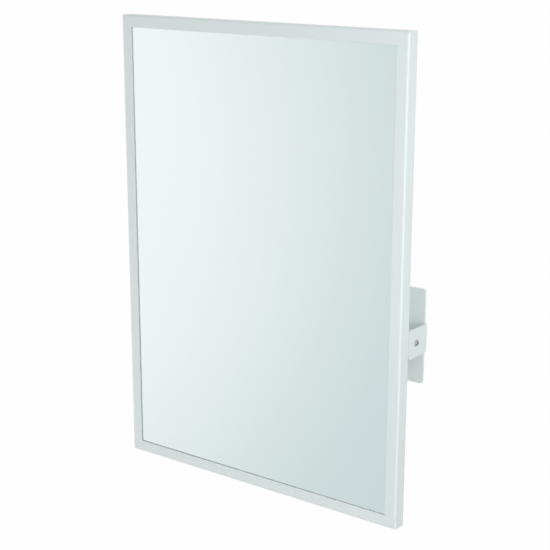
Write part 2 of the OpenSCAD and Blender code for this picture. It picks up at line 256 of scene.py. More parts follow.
def box(node):
    """Lowest and highest corner of a CAD node."""
    return np.array(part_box(node))


def coordinates(mesh):
    """The points of a mesh, each a row of x, y and z."""
    points = np.empty(3 * len(mesh.vertices), np.float32)
    mesh.vertices.foreach_get("co", points)
    return points.reshape(-1, 3)


def solid_boxes(node):
    """Lowest corner, highest corner, size and centre of each separate solid of a CAD node.

    Triangles that meet at a point share a label. Each triangle's lowest label spreads to its three points
    until nothing changes, and a solid's box is the least and greatest coordinate under its label.
    """
    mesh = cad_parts[node].data
    corners = np.empty(len(mesh.loops), np.int32)
    mesh.loops.foreach_get("vertex_index", corners)
    spots, index = np.unique(np.round(coordinates(mesh), 6), axis=0, return_inverse=True)
    triangles = index.ravel()[corners].reshape(-1, 3)
    label = np.arange(len(spots))
    changed = True
    while changed:
        spread = label.copy()
        np.minimum.at(spread, triangles.ravel(), np.repeat(label[triangles].min(1), 3))
        spread = spread[spread]
        changed = not np.array_equal(spread, label)
        label = spread
    groups = np.unique(label, return_inverse=True)[1].ravel()
    low = np.full((groups.max() + 1, 3), np.inf)
    high = -low
    np.minimum.at(low, groups, spots)
    np.maximum.at(high, groups, spots)
    return list(zip(low, high, high - low, (low + high) / 2))


# ---- Outlines and surfaces ----


def rounded_outline(corners, radii, steps=5):
    """Closed outline through the corners, each rounded by an arc of its radius, and each point's edge value.

    With unit directions u into a corner and v out of it, and t the turn between them, the arc starts at
    r tan(|t| / 2) before the corner, and its centre lies r to the side that the outline turns to. A radius of
    0 keeps the corner. The edge value is the sine of the way along the arc, so it is 1 at its middle.
    A point before and after each arc, a share of its radius away, keeps the shading of the flats flat.
    """
    corners = np.array(corners, float)
    points, edge = [], []
    for before, here, after, radius in zip(np.roll(corners, 1, 0), corners, np.roll(corners, -1, 0), radii):
        if radius == 0:
            points.append(here[None])
            edge.append([0.0])
            continue
        u = (here - before) / np.linalg.norm(here - before)
        v = (after - here) / np.linalg.norm(after - here)
        turn = math.atan2(u[0] * v[1] - u[1] * v[0], u @ v)
        to_centre = math.copysign(radius, turn) * np.array([-u[1], u[0]])
        centre = here - u * radius * math.tan(abs(turn) / 2) + to_centre
        way = np.linspace(0, 1, steps + 1)
        c, s = np.cos(turn * way), np.sin(turn * way)
        arm = -np.stack([c * to_centre[0] - s * to_centre[1], s * to_centre[0] + c * to_centre[1]], 1)
        arc = centre + arm
        points.append(np.vstack([arc[0] - HOLD * radius * u, arc, arc[-1] + HOLD * radius * v]))
        edge.append(np.concatenate([[0], np.sin(math.pi * way), [0]]))
    return np.vstack(points), np.concatenate(edge)


def rounded_box(left, bottom, right, top, radius):
    """Rectangle with four equal rounded corners."""
    outline, _ = rounded_outline([(left, bottom), (right, bottom), (right, top), (left, top)], [radius] * 4)
    return outline


def shrunk(outline, inset):
    """The outline moved to its inner side by inset: each point goes along the mean of its edges' normals."""
    ahead = np.roll(outline, -1, 0) - outline
    ahead /= np.linalg.norm(ahead, axis=1)[:, None]
    mean = ahead + np.roll(ahead, 1, 0)
    mean /= (mean * mean).sum(1)[:, None] / 2
    x, y = outline.T
    area = np.sum(x * np.roll(y, -1) - y * np.roll(x, -1))
    return outline + math.copysign(inset, area) * np.stack([-mean[:, 1], mean[:, 0]], 1)


def ring_faces(rings, count, closed=False):
    """Quads between rings of count points each. With closed, the last ring joins the first."""
    k = np.arange(rings if closed else rings - 1)[:, None]
    i = np.arange(count)[None]
    after = (k + 1) % rings
    j = (i + 1) % count
    return np.stack([k * count + i, k * count + j, after * count + j, after * count + i], -1).reshape(-1, 4)


def capped(grid, poles, **values):
    """Solid from a grid of rings by points, closed at each end by a fan to a pole."""
    rings, count = grid.shape[:2]
    i = np.arange(count)
    j = (i + 1) % count
    pole = np.full(count, rings * count)
    last = pole - count
    fans = [np.stack([pole, j, i], 1), np.stack([pole + 1, last + i, last + j], 1)]
    points = np.vstack([grid.reshape(-1, 3), poles])
    return outward(Solid(points, [ring_faces(rings, count), *fans], **values))


def turned_solid(rows, angles, closed=False):
    """Surface turned about the z axis from rows of (h, r): each point is (r cos a, r sin a, h).

    Each height and radius is one number, or one value per angle where the ring isn't round. Open rows are
    closed at both ends by a fan to a point on the axis, and closed ones join the last ring to the first.
    """
    height, radius = (
        np.array([np.broadcast_to(row[k], angles.shape) for row in rows], float) for k in (0, 1)
    )
    grid = np.stack([radius * np.cos(angles), radius * np.sin(angles), height], -1)
    step = np.hypot(np.diff(height[:, 0]), np.diff(radius[:, 0]))
    along = np.repeat(np.concatenate([[0], np.cumsum(step)]), len(angles))
    if closed:
        return outward(Solid(grid.reshape(-1, 3), [ring_faces(len(rows), len(angles), True)], turned=along))
    poles = [(0, 0, height[0].mean()), (0, 0, height[-1].mean())]
    return capped(grid, poles, turned=np.append(along, [along[0], along[-1]]))


def even_angles(count):
    return np.arange(count) * 2 * math.pi / count


def ring_solid(profile):
    """Ring with a closed profile of (radius, height) points, turned about the z axis."""
    return turned_solid([(h, r) for r, h in profile], even_angles(64), closed=True)


def hexagon(angles, across_flats):
    """Radius of a hexagon at each angle: half its width over the cosine of the angle off a flat's middle."""
    return across_flats / 2 / np.cos((angles + math.pi / 6) % (math.pi / 3) - math.pi / 6)


def cross(angles, arm, half_width):
    """Radius of a cross of four arms: the arm's end over cos p, or its side over sin p, whichever is nearer,
    where p is the angle off the nearest arm's middle."""
    off = np.abs((angles + QUARTER / 2) % QUARTER - QUARTER / 2)
    return np.minimum(arm / np.cos(off), half_width / np.maximum(np.sin(off), 1e-6))


def slab(low, high, edge, corner):
    """Flat sheet between two corners with rounded edges and corners, its thickness along Y.

    Ring k follows a rounded rectangle inset by e (1 - sin t) at a depth of e (1 - cos t) from each face, for
    t from 0 to a quarter turn. The corner arcs keep their centres, so their radius is the corner less the
    inset. One more ring lies in each face, half an edge further in, and keeps the face's shading flat.
    """
    t = np.linspace(0, QUARTER, EDGE_POINTS)
    inset = np.concatenate([[1.5 * edge], edge * (1 - np.sin(t))])
    front = low[1] + np.concatenate([[0], edge * (1 - np.cos(t))])
    worn = np.concatenate([[0], np.sin(2 * t)])
    depth = np.concatenate([front, (low[1] + high[1] - front)[::-1]])[:, None]
    quarter = np.linspace(0, QUARTER, CORNER_POINTS)
    turn = np.concatenate([quarter + k * QUARTER for k in range(4)])
    sign_x = np.repeat([1, -1, -1, 1], len(quarter))
    sign_z = np.repeat([1, 1, -1, -1], len(quarter))
    centre, half = (low + high) / 2, (high - low) / 2
    arc = corner - np.concatenate([inset, inset[::-1]])[:, None]
    x = centre[0] + sign_x * (half[0] - corner) + arc * np.cos(turn)
    z = centre[2] + sign_z * (half[2] - corner) + arc * np.sin(turn)
    grid = np.stack([x, np.broadcast_to(depth, x.shape), z], -1)
    poles = [(centre[0], low[1], centre[2]), (centre[0], high[1], centre[2])]
    return capped(grid, poles, edge=np.append(np.repeat([*worn, *worn[::-1]], len(turn)), [0, 0]))


def extruded(outline, edge, length_along, chamfer):
    """Outline in y and z carried along x, symmetric about x = 0, with both ends chamfered.

    Four rings: the outline shrunk by the chamfer at each end, and the full one a chamfer further in. Each end
    is one flat face.
    """
    inner = shrunk(outline, chamfer)
    half = length_along / 2
    rings = [(-half, inner), (-half + chamfer, outline), (half - chamfer, outline), (half, inner)]
    points = np.vstack([np.column_stack([np.full(len(o), x), o]) for x, o in rings])
    count = len(outline)
    caps = np.array([np.arange(count)[::-1], np.arange(count) + 3 * count])
    return outward(Solid(points, [ring_faces(4, count), caps], edge=np.tile(edge, 4)))


# ---- Materials ----

# Numbers of a mix node's colour inputs and colour output
MIX_A, MIX_B, MIX_RESULT = 6, 7, 2


class Nodes:
    """A node tree and the few kinds of node that the finishes and the stage are made of."""

    def __init__(self, tree):
        self.tree = tree

    def fill(self, node, values):
        """Sets inputs of a node, by name or number. A value that is a socket is linked."""
        for name, value in values.items():
            if isinstance(value, bpy.types.NodeSocket):
                self.tree.links.new(value, node.inputs[name])
            else:
                node.inputs[name].default_value = value
        return node

    def node(self, kind, values=None, **settings):
        """A new node with its settings and the values of its inputs."""
        node = self.tree.nodes.new(f"ShaderNode{kind}")
        for name, setting in settings.items():
            setattr(node, name, setting)
        return self.fill(node, values or {})

    def spread(self, value, low, high, start=0.3, end=0.7):
        """Value from start to end carried to low to high, smoothly and clamped."""
        values = {"Value": value, "From Min": start, "From Max": end, "To Min": low, "To Max": high}
        return self.node("MapRange", values, interpolation_type="SMOOTHSTEP").outputs["Result"]

    def mix(self, amount, first, second):
        """Colour from first to second. Each is a colour or a socket."""
        a, b = (c if isinstance(c, bpy.types.NodeSocket) else (*c, 1) for c in (first, second))
        return self.node("Mix", {"Factor": amount, MIX_A: a, MIX_B: b}, data_type="RGBA").outputs[MIX_RESULT]

    def work_out(self, operation, *values, **settings):
        """Arithmetic on sockets or numbers."""
        return self.node("Math", dict(enumerate(values)), operation=operation, **settings).outputs["Value"]


class Finish(Nodes):
    """A new material: its principled shader, and textures in object coordinates."""

    def __init__(self, name, values):
        self.material = bpy.data.materials.new(name)
        self.material.use_nodes = True
        super().__init__(self.material.node_tree)
        self.shader = self.fill(self.tree.nodes["Principled BSDF"], values)
        self.place = self.node("TexCoord").outputs["Object"]

    def mapped(self, scale):
        """Object coordinates with a scale for each axis."""
        return self.node("Mapping", {"Scale": scale, "Vector": self.place}).outputs["Vector"]

    def noise(self, scale, detail=2.0, rough=0.5, vector=None):
        """Noise with scale features per metre."""
        values = {"Scale": scale, "Detail": detail, "Roughness": rough, "Vector": vector or self.place}
        return self.node("TexNoise", values).outputs["Fac"]

    def cells(self, scale):
        """Distance to the nearest of scattered cell centres."""
        return self.node("TexVoronoi", {"Scale": scale, "Vector": self.place}).outputs["Distance"]

    def attribute(self, name):
        return self.node("Attribute", attribute_name=name).outputs["Fac"]

    def tones(self, value, base, dark, light):
        """From the base colour times dark to the same times light, as the value goes."""
        return self.mix(self.spread(value, 0, 1), tone(base, dark), tone(base, light))

    def over(self, under, upper, value, amount, start=0.3, end=0.7):
        """A colour laid over another by up to the amount, as the value goes from start to end."""
        return self.mix(self.spread(value, 0, amount, start, end), under, upper)

    def bump(self, height, distance, strength, under=None):
        """Bump of a height field whose full swing is distance, over another bump."""
        values = {"Strength": strength, "Distance": distance, "Height": height}
        if under:
            values["Normal"] = under
        return self.node("Bump", values).outputs["Normal"]

    def done(self, base, roughness, normal=None):
        self.fill(self.shader, {"Base Color": base, "Roughness": roughness})
        if normal:
            self.fill(self.shader, {"Normal": normal})
        return self.material


def tone(base, factor):
    """A colour made lighter or darker by one factor, or by one for each channel."""
    return tuple(np.minimum(1.0, np.multiply(base, factor)))


def powder_coat(name, base, roughness):
    """Baked powder: even, with faint clouds, orange peel about 2 mm across, a fine grain and paler edges."""
    f = Finish(name, {"IOR": 1.5})
    clouds = f.noise(7, 3)
    grain = f.noise(2600)
    peel = f.noise(430, 1.5, 0.4)
    speckled = f.over(f.tones(clouds, base, 0.985, 1.01), tone(base, 0.95), grain, 0.35, 0.45, 0.75)
    worn = f.over(speckled, tone(base, 1.015), f.attribute("edge"), 0.5, 0, 1)
    uneven = f.spread(clouds, roughness - 0.03, roughness + 0.03)
    rough = f.work_out("ADD", f.spread(peel, -0.03, 0.03), uneven)
    return f.done(worn, rough, f.bump(grain, 0.000006, 0.5, f.bump(peel, 0.000035, 0.6)))


def coil_coat(name, base):
    """Matte coated sheet: a leathery grain about a millimetre across and the slow waves of thin sheet."""
    f = Finish(name, {"IOR": 1.48})
    marks = f.noise(60, 4, 0.7, f.mapped((1, 1, 0.12)))
    rubbed = f.over(f.tones(f.noise(5, 3), base, 0.97, 1.02), tone(base, 0.93), marks, 0.5, 0.55, 0.8)
    waves = f.bump(f.noise(9, 1), 0.0012, 0.5)
    return f.done(rubbed, f.spread(marks, 0.62, 0.5, 0.3, 0.75), f.bump(f.cells(900), 0.00002, 0.6, waves))


def clear_glass(name, base):
    """Float glass: clear, with a faint green tint that varies by a hair, and the trace of a wiped surface."""
    f = Finish(name, {"Transmission Weight": 1.0, "IOR": 1.52})
    return f.done(f.tones(f.noise(3), base, 0.995, 1), f.spread(f.noise(14, 4, 0.65), 0.0, 0.012))


def silvering(name, base):
    """Silver on the back of the glass: a perfect mirror with the slow unevenness of the rolled sheet."""
    f = Finish(name, {"Metallic": 1.0})
    slow = f.noise(4)
    return f.done(f.tones(slow, base, 0.99, 1), f.spread(slow, 0.002, 0.008))


def zinc_plating(name, base):
    """Bright zinc: cloudy, from blue to straw, with fine rolling lines from the sheet beneath."""
    f = Finish(name, {"Metallic": 1.0})
    clouds = f.noise(90, 4, 0.6)
    lines = f.noise(1500, 3, 0.6, f.mapped((1, 0.04, 1)))
    body = f.tones(clouds, base, (0.95, 0.99, 1.05), (1.06, 1.02, 0.93))
    worn = f.over(body, tone(base, 1.2), f.attribute("edge"), 0.6, 0, 1)
    rough = f.work_out("ADD", f.spread(clouds, 0.26, 0.38), f.spread(lines, -0.04, 0.06))
    return f.done(worn, rough, f.bump(lines, 0.000008, 0.5))


def turned_steel(name, base, roughness):
    """Turned stainless steel: rings along the profile, as the tool leaves them, and handling marks."""
    f = Finish(name, {"Metallic": 1.0})
    along = f.node("CombineXYZ", {"X": f.work_out("MULTIPLY", f.attribute("turned"), 9000.0)})
    rings = f.noise(1.0, 2, 0.6, along.outputs["Vector"])
    marks = f.noise(700, 3, 0.6)
    soiled = f.over(f.tones(rings, base, 0.93, 1.07), tone(base, 0.7), marks, 0.5, 0.55, 0.8)
    rough = f.work_out("ADD", f.spread(marks, roughness, roughness + 0.08), f.spread(rings, -0.04, 0.06))
    return f.done(soiled, rough, f.bump(rings, 0.000008, 0.5))


def moulded_nylon(name, base):
    """Moulded nylon: dark, half matte, with a spark-eroded grain and slightly lighter flow clouds."""
    f = Finish(name, {"IOR": 1.53})
    flow = f.noise(160, 3, 0.6)
    body = f.tones(flow, base, 1, 1.5)
    return f.done(body, f.spread(flow, 0.42, 0.56), f.bump(f.cells(2200), 0.000015, 0.7))


def moulded_rubber(name, base):
    """Moulded rubber: black, matte and a little dusty, with a soft uneven skin."""
    f = Finish(name, {"IOR": 1.5})
    dust = f.noise(120, 5, 0.7)
    body = f.over(base, (0.09, 0.088, 0.085), dust, 0.6, 0.5, 0.8)
    return f.done(body, f.spread(dust, 0.7, 0.9), f.bump(f.noise(900, 3, 0.6), 0.00003, 0.6))


def cell_foam(name, base):
    """Closed-cell foam: a skin of small cells, darker between them."""
    f = Finish(name, {"IOR": 1.4})
    cells = f.cells(1400)
    clouds = f.noise(30, 3)
    body = f.over(tone(base, 1.08), tone(base, 0.85), cells, 1, 0.1, 0.6)
    shaded = f.over(body, tone(base, 0.92), clouds, 0.4)
    return f.done(shaded, f.spread(clouds, 0.8, 0.95), f.bump(cells, 0.0001, 0.6))


def woven_film(name, base):
    """Safety film: tapes woven over and under at right angles, about 2.5 mm wide, under a glossy coat."""
    f = Finish(name, {"IOR": 1.5, "Coat Weight": 0.3})
    tapes = [f.noise(1.0, 0, 0.5, f.mapped(scale)) for scale in ((400, 1, 12), (12, 1, 400))]
    weave = f.work_out("MAXIMUM", *tapes)
    return f.done(f.tones(weave, base, 0.85, 1), f.spread(weave, 0.5, 0.3), f.bump(weave, 0.00004, 0.8))


def make_materials():
    """The finishes by name."""
    c = bpy.context.scene.mirror_finishes
    return {
        "frame": powder_coat("powder_coat_frame", c.coating, c.coating_gloss),
        "sheet": powder_coat("powder_coat_sheet", tone(c.coating, 0.985), c.coating_gloss + 0.04),
        "back": coil_coat("coil_coat", c.back),
        "glass": clear_glass("float_glass", c.glass),
        "silver": silvering("silvering", c.silver),
        "tape": cell_foam("glazing_foam", c.tape),
        "foam": cell_foam("padding_foam", c.foam),
        "film": woven_film("safety_film", c.film),
        "zinc": zinc_plating("zinc_plating", c.zinc),
        "screws": turned_steel("stainless_screws", c.steel, 0.3),
        "pivots": turned_steel("polished_stainless", tone(c.steel, 1.08), 0.16),
        "nylon": moulded_nylon("moulded_nylon", c.nylon),
        "rubber": moulded_rubber("moulded_rubber", c.rubber),
    }


MATERIALS = {}


def material(name):
    """One of the finishes. All are made at the first call."""
    if not MATERIALS:
        MATERIALS.update(make_materials())
    return MATERIALS[name]


# ---- Frame ----


def frame_section():
    """Outer and inner outline of the frame profile, with the outer one's edge values.

    Its x goes from the outer side inwards, and its y from the front face back.
    """
    s = sizes()
    low, high = box("frame_bottom_rail")
    face_w, depth = high[2] - low[2], high[1] - low[1]
    outer, edge = rounded_outline(
        [(0, 0), (face_w, 0), (face_w, s.wall), (s.chamber_w, s.wall), (s.chamber_w, depth), (0, depth)],
        [s.front_r, s.lip_r, s.lip_r / 2, s.lip_r, s.rear_r, s.rear_r],
        steps=8,
    )
    return outer, edge, rounded_box(s.wall, s.wall, s.chamber_w - s.wall, depth - s.wall, s.wall / 3)


def mitred_member(member_l):
    """Hollow profile along x from 0 to its length, with 45 degree ends: y is its depth, and z points inwards.

    A point of the section at inward distance w lies at x = w + o from each end. On the mitre o is 0, and the
    section is shrunk by the groove's width. On the ring next to it o is that width, and the section is full.
    That leaves a fine line along the joint.
    """
    groove = sizes().mitre_groove
    outer, edge, inner = frame_section()
    small = shrunk(outer, groove)
    rings = []
    for far_end, offset, outline in (
        (False, 0, small), (False, groove, outer), (True, groove, outer), (True, 0, small),
        (True, 0, inner), (False, 0, inner),
    ):
        inward, depth = outline.T
        x = inward + offset
        rings.append(np.column_stack([member_l - x if far_end else x, depth, inward]))
    count, inner_count = len(outer), len(inner)
    first_inner = 4 * count
    caps = np.array(tessellate_polygon([to_3d(small), to_3d(inner)]))
    far = np.where(caps < count, caps + 3 * count, caps - count + first_inner)
    near = np.where(caps < count, caps, caps - count + first_inner + inner_count)
    faces = [ring_faces(4, count), ring_faces(2, inner_count) + first_inner, far, near[:, ::-1]]
    worn = np.append(np.tile(edge, 4), np.zeros(2 * inner_count))
    return outward(Solid(np.vstack(rings), faces, edge=worn))


def to_3d(outline):
    """A flat outline as vectors with z = 0."""
    return [Vector((a, b, 0)) for a, b in outline.tolist()]


def build_frame():
    """Four mitred members, each along its own side with the lip towards the middle."""
    for name, along, inward in (
        ("bottom_rail", X, Z), ("top_rail", X, -Z), ("left_stile", Z, X), ("right_stile", Z, -X),
    ):
        low, high = box(f"frame_{name}")
        corner = np.where(inward < 0, high, low)
        corner[1] = low[1]
        solid = placed(mitred_member((high - low) @ along), corner, along, Y, inward)
        piece(f"coated_{name}", solid, "mirror", "frame_coating", "frame", f"frame_{name}")


# ---- Glass and back ----


def build_glass():
    """Silvered glass with a ground arris, the tape in front of it and the film behind.

    The clear part is as deep as the reflecting plane lies, and the silvered part behind it fills the rest.
    """
    s = sizes()
    low, high = box("mirror_glass")
    front, rear = low.copy(), high.copy()
    rear[1] = low[1] + s.silver_depth
    front[1] = rear[1] - s.silver_depth / 100
    arris, corner = s.glass_arris, 2 * s.glass_arris
    clear = slab(low, rear, s.silver_depth / 3, corner)
    piece("glass_sheet", clear, "mirror", "silvered_glass", "glass", "mirror_glass")
    piece("silvered_back", slab(front, high, arris, corner), "mirror", "silvered_glass", "silver")
    strips = [slab(a, b, size[1] / 8, size[1] / 2) for a, b, size, _ in solid_boxes("glazing_tape")]
    piece("glazing_strips", joined(strips), "mirror", "pale_foam", "tape", "glazing_tape")
    coat(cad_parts["safety_film"], material("film"))


def build_back():
    """Foam padding and the steel back panel, both flat sheets with rounded edges."""
    low, high = box("foam_sheet")
    thick = high[1] - low[1]
    foam = slab(low, high, thick / 3, thick)
    piece("foam_padding", foam, "mirror", "padding_foam", "foam", "foam_sheet")
    low, high = box("back_panel")
    thick = high[1] - low[1]
    panel = slab(low, high, thick / 4, 2 * thick)
    piece("coated_back_panel", panel, "mirror", "back_coating", "back", "back_panel")


# ---- Retaining clips ----


def clip_solid(depth, reach, width):
    """Z-shaped clip for the middle of a bottom rail: y back from its foot, z inwards from its leg's end.

    The leg lies on the rear of the profile, the web runs down the profile's inner side, and the foot reaches
    inwards from it. Each bend has the inside radius on one face and that radius plus the sheet on the other.
    """
    s = sizes()
    thick = s.clip_t
    web = s.chamber_w - s.wall
    free = thick / 4
    inside, outside = s.clip_bend, s.clip_bend + thick
    outline, edge = rounded_outline(
        [
            (depth - thick, 0), (depth - thick, web), (0, web), (0, reach),
            (thick, reach), (thick, web + thick), (depth, web + thick), (depth, 0),
        ],
        [free, inside, outside, free, free, inside, outside, free],
    )
    return extruded(outline, edge, width, free / 2)


def build_clips():
    """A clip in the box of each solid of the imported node. A clip on a rail is longer in z than in x."""
    middle = (box("frame_bottom_rail")[0] + box("frame_top_rail")[1]) / 2
    clips = []
    for low, high, size, centre in solid_boxes("retaining_clips"):
        along, side = (X, Z) if size[2] > size[0] else (Z, X)
        inward = -side * np.sign((centre - middle) @ side)
        origin = np.where(along > 0, centre, np.where(inward < 0, high, low))
        origin[1] = low[1]
        clips.append(placed(clip_solid(size[1], size @ side, size @ along), origin, along, Y, inward))
    piece("bent_clips", joined(clips), "mirror", "zinc_plate", "zinc", "retaining_clips")


# ---- Screws ----

# Head of a pan head screw and of a button head screw as radius and height over the thread's diameter
PAN_HEAD_R, PAN_HEAD_H = 0.95, 0.6
BUTTON_HEAD_R, BUTTON_HEAD_H = 0.875, 0.55


def pan_screw(d, shank_l):
    """Pan head screw with a cross recess: z = 0 under the head, the head above, the shank below.

    The rings go from the recess floor up its cross-shaped wall, change from the cross to a circle over the
    crown h (1 - r^2 / 8 R^2), turn round the rim by a quarter circle and go down the shank to the tip.
    """
    head_r, head_h = PAN_HEAD_R * d, PAN_HEAD_H * d
    arm, half_width = 0.6 * head_r, 0.11 * d
    corner = math.atan2(half_width, arm)
    arms = np.arange(4) * QUARTER
    angles = np.unique(np.concatenate([even_angles(48), arms + corner, (arms - corner) % (2 * math.pi)]))
    opening = cross(angles, arm, half_width)
    break_r = opening + 0.03 * d
    fillet = 0.4 * head_h
    rim_r = head_r - fillet

    def crown(r):
        return head_h * (1 - (r / head_r) ** 2 / 8)

    rows = [(0.35 * head_h, 0.5 * opening), (0.45 * head_h, 0.8 * opening)]
    rows += [(crown(opening) - 0.04 * d, opening), (crown(break_r), break_r)]
    for t in np.linspace(0.15, 1, 6):
        r = (1 - t) * break_r + t * rim_r
        rows.append((crown(r), r))
    for t in np.linspace(0, QUARTER, 7)[1:]:
        rows.append((crown(rim_r) - fillet * (1 - math.cos(t)), rim_r + fillet * math.sin(t)))
    rows += [(0.04 * d, head_r), (0, head_r - 0.04 * d), (0, 0.52 * d), (-0.02 * d, 0.5 * d)]
    rows += [(0.2 * d - shank_l, 0.5 * d), (-shank_l, 0.3 * d)]
    return turned_solid(rows, angles)


def build_screws():
    """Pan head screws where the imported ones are. The box gives the head's width, and that gives the rest."""
    for name, node in (
        ("key_screws", "corner_key_screws"),
        ("clip_pan_screws", "clip_screws"),
        ("lug_pan_screws", "lug_screws"),
    ):
        screws = []
        for n, (_, high, size, centre) in enumerate(solid_boxes(node)):
            d = size[0] / (2 * PAN_HEAD_R)
            turn = 0.7 * n
            across = X * math.cos(turn) + Z * math.sin(turn)
            origin = np.array([centre[0], high[1] - PAN_HEAD_H * d, centre[2]])
            solid = pan_screw(d, size[1] - PAN_HEAD_H * d)
            screws.append(placed(solid, origin, across, np.cross(Y, across), Y))
        piece(name, joined(screws), "mirror", "screw_steel", "screws", node)


# ---- Folded sheet ----


def softened(name, node, body):
    """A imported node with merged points, flat triangles joined and edges rounded, kept in the node's box."""
    merged = bmesh.new()
    merged.from_mesh(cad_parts[node].data)
    bmesh.ops.remove_doubles(merged, verts=merged.verts, dist=MM / 1000)
    bmesh.ops.dissolve_limit(merged, angle_limit=FLAT_ANGLE, verts=merged.verts, edges=merged.edges)
    merged.verts.index_update()
    points = [v.co[:] for v in merged.verts]
    faces = [[v.index for v in f.verts] for f in merged.faces]
    merged.free()
    mesh = smooth_mesh(name, points, faces)
    mesh.update()
    obj = new_object(name, mesh)
    bevel = obj.modifiers.new("coated_edges", "BEVEL")
    bevel.width = sizes().sheet_edge
    bevel.segments = 3
    bevel.limit_method = "ANGLE"
    bevel.angle_limit = SMOOTH_ANGLE
    obj.data = bpy.data.meshes.new_from_object(obj.evaluated_get(bpy.context.evaluated_depsgraph_get()))
    obj.data.name = name
    obj.modifiers.clear()
    bpy.data.meshes.remove(mesh)
    inside = np.clip(coordinates(obj.data), *box(node)).astype(np.float32)
    obj.data.vertices.foreach_set("co", inside.ravel())
    obj.data.update()
    obj.modifiers.new("flat_shading", "WEIGHTED_NORMAL").weight = 80
    dressed(obj, body, "sheet", node)


def build_brackets():
    """Wall brackets and pivot lugs in coated folded sheet."""
    for side in ("left", "right"):
        softened(f"folded_bracket_{side}", f"wall_bracket_{side}", "wall_brackets")
        softened(f"folded_lug_{side}", f"pivot_lug_{side}", "mirror")


# ---- Pivots ----

# Clearance round a pivot screw's thread in the hole of a washer, disc or spring, and in a bush
HOLE_GAP, BUSH_GAP = 0.2 * MM, 0.05 * MM


def outward_x(centre):
    """Directions for a part on the pivot axis: its z points away from the mirror's middle."""
    side = math.copysign(1, centre[0])
    return Y, Z * side, X * side


def button_screw(d, head_r, whole_l):
    """Button head screw with a hexagon socket and a thread: z = 0 under the head, the head above.

    The head is a sphere cap h(r) = H - S + sqrt(S^2 - r^2) with S = (H^2 + R^2) / 2H. Its rings change from
    the hexagon to a circle. The thread's radius is d / 2 less its depth times a triangle wave of
    z / pitch + a / 2 pi. The whole length ends where the socket's flats meet the cap. Returns the solid and
    the cap's height there.
    """
    s = sizes()
    angles = even_angles(72)
    head_h = BUTTON_HEAD_H * d
    sphere = (head_h**2 + head_r**2) / (2 * head_h)
    socket = hexagon(angles, 2 / 3 * d)
    floor = head_h - 0.35 * d
    lip = 0.04 * d

    def cap(r):
        return head_h - sphere + np.sqrt(sphere**2 - r**2)

    top = float(cap(d / 3))
    tip = top - whole_l
    rows = [(floor - 0.06 * d, 0.2 * socket), (floor, 0.85 * socket), (floor + 0.02 * d, socket)]
    rows += [(cap(socket) - lip, socket), (cap(socket + lip), socket + lip)]
    for t in np.linspace(0.12, 1, 12):
        r = (1 - t) * (socket + lip) + t * 0.985 * head_r
        rows.append((cap(r), r))
    rows += [(0.03 * head_h, 0.997 * head_r), (0.01 * head_h, 0.99 * head_r), (0, 0.97 * head_r)]
    rows += [(0, 0.53 * d), (-0.03 * d, 0.5 * d)]
    pitch, start = s.thread_pitch, s.thread_l + tip
    depth = 0.54 * pitch
    for z in np.arange(start, tip + pitch / 10, -pitch / 10):
        wave = np.abs(2 * ((z / pitch + angles / (2 * math.pi)) % 1) - 1)
        r = 0.5 * d - depth * min(1, (start - z) / pitch) * wave
        rows.append((z, np.minimum(r, 0.5 * d - depth + (z - tip))))
    rows.append((tip, 0.5 * d - 1.1 * depth))
    return turned_solid(rows, angles), top


def lock_nut(across_flats, h, bore_r):
    """Hexagon nut of height h with a round collar: z = 0 on the bearing face.

    At each height the radius is the hexagon's or that of a 30 degree cone on the end faces, whichever is
    less. The collar is rolled over at the top, where it holds the insert.
    """
    angles = even_angles(72)
    flats = hexagon(angles, across_flats)
    hex_h = 0.7 * h
    collar_r = 0.425 * across_flats
    face_r = 0.46 * across_flats
    slope = 1 / math.tan(math.radians(30))
    rise = np.array([0, 0.02, 0.05, 0.09, 0.14]) * h
    rows = [(0.06 * h, bore_r), (0, bore_r + 0.06 * h)]
    rows += [(z, np.minimum(flats, face_r + slope * z)) for z in rise]
    rows += [(hex_h - z, np.minimum(flats, face_r + slope * z)) for z in rise[::-1]]
    rows += [(hex_h, collar_r + 0.03 * h), (hex_h + 0.03 * h, collar_r), (0.91 * h, collar_r)]
    rows += [(0.97 * h, collar_r - 0.03 * h), (h, collar_r - 0.09 * h), (h, 1.3 * bore_r)]
    rows += [(0.95 * h, 1.22 * bore_r), (0.88 * h, 1.2 * bore_r), (0.88 * h, bore_r)]
    return turned_solid(rows, angles, closed=True)


def flat_section(size, hole_r, edge):
    """Section of a flat ring as wide and thick as a box, with rounded edges."""
    return rounded_box(hole_r, -size[0] / 2, size[2] / 2, size[0] / 2, edge)


def cone_section(size, hole_r, sheet):
    """Section of a conical ring, whose hole lies nearer the mirror's middle than its outer edge does."""
    outer_r, rise = size[2] / 2, size[0] / 2
    corners = [(hole_r, -rise), (outer_r, rise - sheet), (outer_r, rise), (hole_r, sheet - rise)]
    outline, _ = rounded_outline(corners, [sheet / 5] * 4)
    return outline


def rings_at(node, section, hole_r, measure):
    """A ring of a section in the box of each solid of a node, turned about the pivot axis."""
    rings = []
    for _, _, size, centre in solid_boxes(node):
        ring = ring_solid(section(size, hole_r, measure))
        rings.append(placed(ring, centre, *outward_x(centre)))
    return joined(rings)


def nuts_and_inserts(d):
    """The lock nuts, their bearing faces away from the mirror's middle, and the rings in their collars."""
    nuts, inserts = [], []
    for _, _, size, centre in solid_boxes("lock_nuts"):
        h = size[0]
        along, across, out = outward_x(centre)
        start = centre + out * h / 2
        nuts.append(placed(lock_nut(min(size[1], size[2]), h, d / 2), start, along, across, -out))
        profile = rounded_box(0.95 * d / 2, 0, 1.2 * d / 2, 0.12 * h, 0.02 * h)
        inserts.append(placed(ring_solid(profile), start - out * 0.87 * h, along, across, -out))
    return joined(nuts), joined(inserts)


